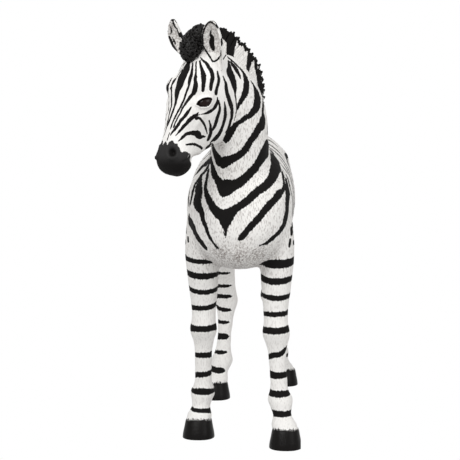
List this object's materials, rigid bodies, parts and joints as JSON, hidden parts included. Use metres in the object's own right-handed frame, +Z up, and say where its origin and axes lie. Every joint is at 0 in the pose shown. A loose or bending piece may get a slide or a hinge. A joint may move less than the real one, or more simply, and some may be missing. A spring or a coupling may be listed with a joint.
{
  "type": "zebra figurine",
  "caption": "Standing zebra figure cast as one solid, head turned to its right, upright mane and rounded forelock, resting on level hoof soles.",
  "frame": {"origin": "on the ground under the middle of the figure's outline", "axes": "+Z up, the zebra faces -Y, its left side is +X"},
  "size_m": [0.2996, 0.878, 0.9124],
  "materials": {
    "painted_cast": "hand-painted matt resin, white with black stripes"
  },
  "bodies": {
    "root": {"zebra_figure": "painted_cast"}
  },
  "joints": []
}
